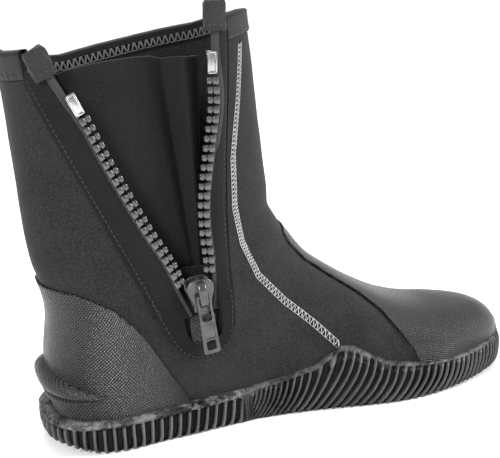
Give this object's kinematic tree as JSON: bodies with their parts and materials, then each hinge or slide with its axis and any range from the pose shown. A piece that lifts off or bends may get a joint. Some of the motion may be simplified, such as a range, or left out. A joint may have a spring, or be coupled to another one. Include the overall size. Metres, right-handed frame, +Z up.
{
  "type": "neoprene dive boot",
  "caption": "Left neoprene dive boot with a ribbed rubber rand and sole, rubber toe cap and heel counter, and an inner-side zip standing open.",
  "frame": {"origin": "on the ground under the middle of the sole, midway between heel and toe on the long centre line of the sole", "axes": "+X to the toe, +Y to the outer (little toe) side, +Z up; the zip is on the -Y side"},
  "size_m": [0.3132, 0.1055, 0.2546],
  "materials": {
    "rubber": "matt moulded rubber with fine ribs",
    "midsole_rubber": "matt foam rubber",
    "board": "stiffened woven board",
    "foam": "knit-faced foam",
    "neoprene": "matt nylon-faced neoprene",
    "overlay": "rubber with a fine moulded weave",
    "binding": "woven tape folded over the edge",
    "thread": "grey polyester thread",
    "zip_tape": "herringbone woven tape",
    "tooth_plastic": "satin moulded plastic",
    "slider_metal": "satin gunmetal coating"
  },
  "bodies": {
    "boot": {"outsole": "rubber", "midsole": "midsole_rubber", "insole_board": "board", "footbed": "foam", "heel_rand": "rubber", "forefoot_rand": "rubber", "toe_panel": "neoprene", "front_panel": "neoprene", "medial_rear_quarter": "neoprene", "medial_front_quarter": "neoprene", "lateral_quarter": "neoprene", "toe_cap": "overlay", "heel_counter": "overlay", "fin_strap_ledge": "rubber", "collar_binding": "binding", "collar_stitch": "thread", "seam_medial": "thread", "seam_lateral": "thread", "zip_gusset": "neoprene", "zip_facing_base": "neoprene", "zip_anchor_patch": "zip_tape", "zip_bottom_stop": "tooth_plastic"},
    "rear_flap": {"rear_facing": "neoprene", "rear_tape": "zip_tape", "rear_teeth": "tooth_plastic", "rear_top_stop": "slider_metal", "rear_binding_end": "binding"},
    "front_flap": {"front_facing": "neoprene", "front_tape": "zip_tape", "front_teeth": "tooth_plastic", "front_top_stop": "slider_metal", "front_binding_end": "binding"},
    "slider": {"slider_body": "slider_metal", "slider_bridge": "slider_metal"},
    "pull_tab": {"pull_tab": "slider_metal"}
  },
  "joints": [
    {"name": "slider_travel", "type": "slide", "parent": "boot", "child": "slider", "axis": [-0.1045, -0.0078, 0.9945], "range_m": [0, 0.117]},
    {"name": "rear_flap_close", "type": "hinge", "parent": "boot", "child": "rear_flap", "pos_m": [-0.059, -0.04061, 0.077], "axis": [0.1332, 0.9908, 0.0218], "range_deg": [0, 18.63]},
    {"name": "front_flap_close", "type": "hinge", "parent": "boot", "child": "front_flap", "pos_m": [-0.059, -0.04061, 0.077], "axis": [0.1615, -0.9868, 0.0092], "range_deg": [0, 8.88]},
    {"name": "pull_tab_swing", "type": "hinge", "parent": "slider", "child": "pull_tab", "pos_m": [-0.06025, -0.04815, 0.08888], "axis": [-0.9945, 0, -0.1045], "range_deg": [0, 150]}
  ],
  "couplings": [
    {"joint": "rear_flap_close", "follows": "slider_travel", "rad_per_m": 2.7776},
    {"joint": "front_flap_close", "follows": "slider_travel", "rad_per_m": 1.3232}
  ]
}
